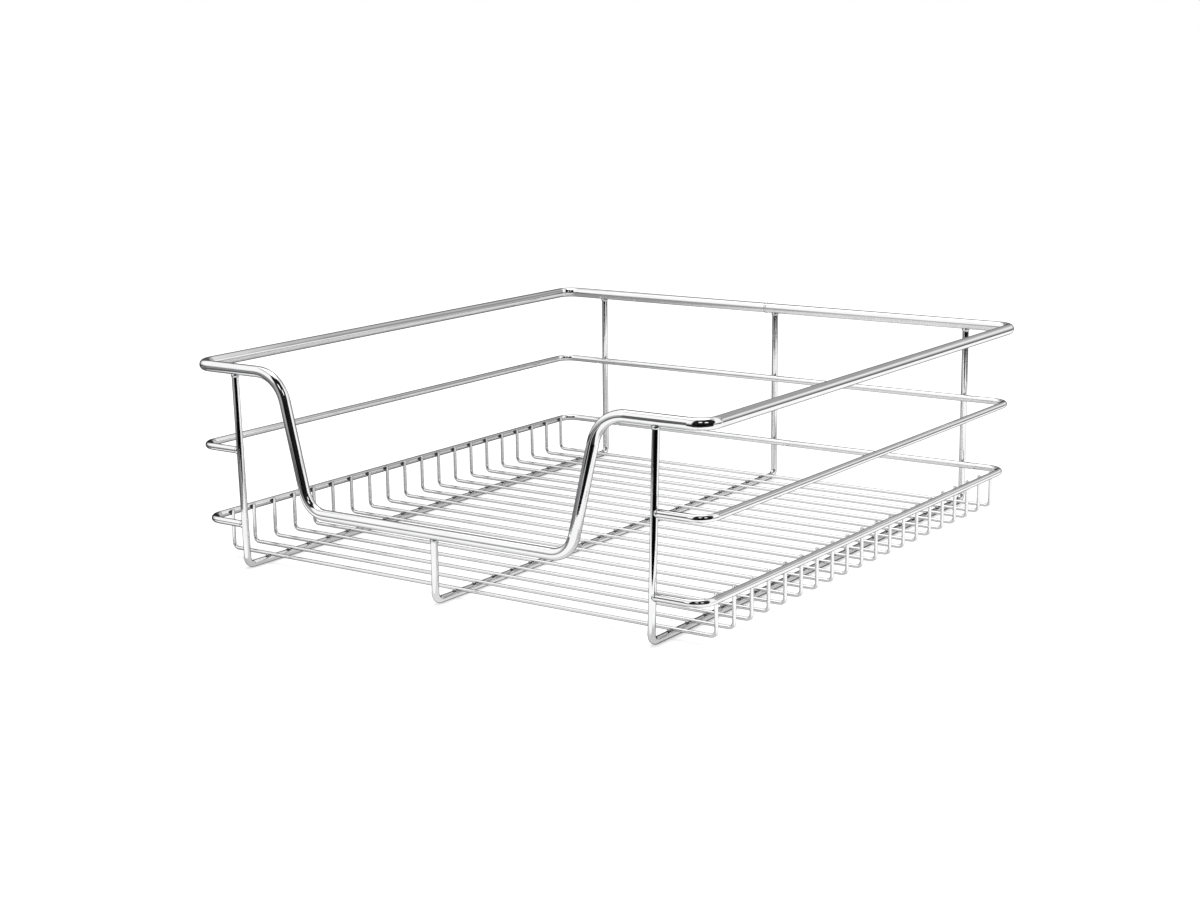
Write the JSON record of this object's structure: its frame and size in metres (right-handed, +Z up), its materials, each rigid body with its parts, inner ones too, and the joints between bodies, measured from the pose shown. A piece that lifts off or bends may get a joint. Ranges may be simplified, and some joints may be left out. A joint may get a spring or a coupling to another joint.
{
  "type": "pull-out cabinet basket",
  "caption": "Shallow rectangular pull-out basket of welded chrome-plated rod: closed top rim with a front dip, side rails, U-shaped frames and a floor of parallel wires with upturned ends.",
  "frame": {"origin": "middle of the basket's footprint, at the height on which the three foot runs stand", "axes": "+Z up; -Y towards the front, which has the dip and is the way the basket is pulled out; +X to the right of someone who faces the front; +Y is the longest extent and +Z the shortest"},
  "size_m": [0.43, 0.46, 0.1475],
  "materials": {
    "rim_rod": "bright chrome plating on steel rod",
    "rail_rod": "bright chrome plating on steel rod",
    "frame_rod": "bright chrome plating on steel rod",
    "floor_wire": "bright chrome plating on steel wire"
  },
  "bodies": {
    "root": {"top_rim": "rim_rod", "mid_rail": "rail_rod", "lower_rail": "rail_rod", "frame_left": "frame_rod", "frame_centre": "frame_rod", "frame_right": "frame_rod", "floor_wire_01": "floor_wire", "floor_wire_02": "floor_wire", "floor_wire_03": "floor_wire", "floor_wire_04": "floor_wire", "floor_wire_05": "floor_wire", "floor_wire_06": "floor_wire", "floor_wire_07": "floor_wire", "floor_wire_08": "floor_wire", "floor_wire_09": "floor_wire", "floor_wire_10": "floor_wire", "floor_wire_11": "floor_wire", "floor_wire_12": "floor_wire", "floor_wire_13": "floor_wire", "floor_wire_14": "floor_wire", "floor_wire_15": "floor_wire", "floor_wire_16": "floor_wire", "floor_wire_17": "floor_wire", "floor_wire_18": "floor_wire", "floor_wire_19": "floor_wire", "floor_wire_20": "floor_wire"}
  },
  "joints": []
}
